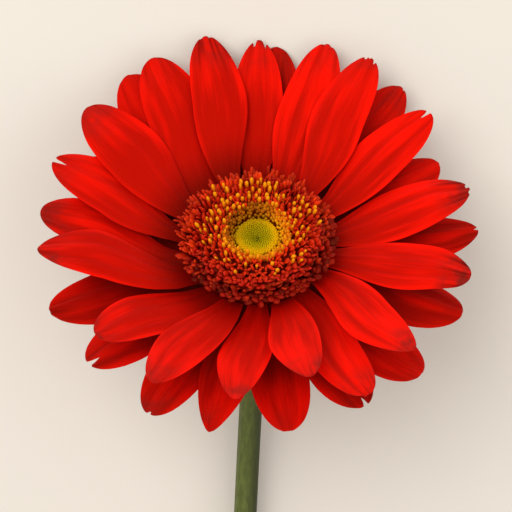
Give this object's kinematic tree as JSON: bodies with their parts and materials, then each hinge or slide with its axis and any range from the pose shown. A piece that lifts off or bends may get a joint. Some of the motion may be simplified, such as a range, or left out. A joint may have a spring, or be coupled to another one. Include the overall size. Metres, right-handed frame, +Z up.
{
  "type": "cut gerbera flower",
  "caption": "Cut gerbera lying down: rows of long red ray petals round a raised disc of small florets, green bracts beneath, and a bare stem bent at the neck.",
  "frame": {"origin": "middle of the footprint, on the surface that the flower lies on", "axes": "+Y runs from the cut end of the stem to the head, +Z is up from the surface, and +X is to the right seen from the cut end"},
  "size_m": [0.1074, 0.3004, 0.0761],
  "materials": {
    "inner_petal": "velvety scarlet petal skin with soft lengthwise grooves and a dusty darker tip",
    "outer_petal": "velvety deep red petal skin with soft lengthwise grooves",
    "floret_red": "satin red florets with curled lips",
    "floret_orange": "red to orange florets with yellow tips",
    "floret_yellow": "orange and golden yellow rounded florets",
    "bud": "smooth yellow-green unopened buds",
    "bract": "matt green, downy, with paler edges",
    "stem": "matt olive green, finely ribbed and downy, paler at the cut"
  },
  "bodies": {
    "root": {"disc_buds_centre": "bud", "disc_florets_inner": "floret_yellow", "disc_florets_middle": "floret_orange", "disc_florets_outer": "floret_red", "inner_bract_1": "bract", "inner_bract_2": "bract", "inner_bract_3": "bract", "inner_bract_4": "bract", "inner_bract_5": "bract", "inner_bract_6": "bract", "inner_bract_7": "bract", "inner_bract_8": "bract", "inner_bract_9": "bract", "inner_bract_10": "bract", "inner_ray_1": "inner_petal", "inner_ray_2": "inner_petal", "inner_ray_3": "inner_petal", "inner_ray_4": "inner_petal", "inner_ray_5": "inner_petal", "inner_ray_6": "inner_petal", "inner_ray_7": "inner_petal", "inner_ray_8": "inner_petal", "inner_ray_9": "inner_petal", "inner_ray_10": "inner_petal", "inner_ray_11": "inner_petal", "inner_ray_12": "inner_petal", "inner_ray_13": "inner_petal", "inner_ray_14": "inner_petal", "inner_ray_15": "inner_petal", "inner_ray_16": "inner_petal", "inner_ray_17": "inner_petal", "inner_ray_18": "inner_petal", "outer_bract_1": "bract", "outer_bract_2": "bract", "outer_bract_3": "bract", "outer_bract_4": "bract", "outer_bract_5": "bract", "outer_bract_6": "bract", "outer_bract_7": "bract", "outer_bract_8": "bract", "outer_bract_9": "bract", "outer_bract_10": "bract", "outer_ray_1": "outer_petal", "outer_ray_2": "outer_petal", "outer_ray_3": "outer_petal", "outer_ray_4": "outer_petal", "outer_ray_5": "outer_petal", "outer_ray_6": "outer_petal", "outer_ray_7": "outer_petal", "outer_ray_8": "outer_petal", "outer_ray_9": "outer_petal", "outer_ray_10": "outer_petal", "outer_ray_11": "outer_petal", "outer_ray_12": "outer_petal", "outer_ray_13": "outer_petal", "outer_ray_14": "outer_petal", "outer_ray_15": "outer_petal", "stem": "stem"}
  },
  "joints": []
}
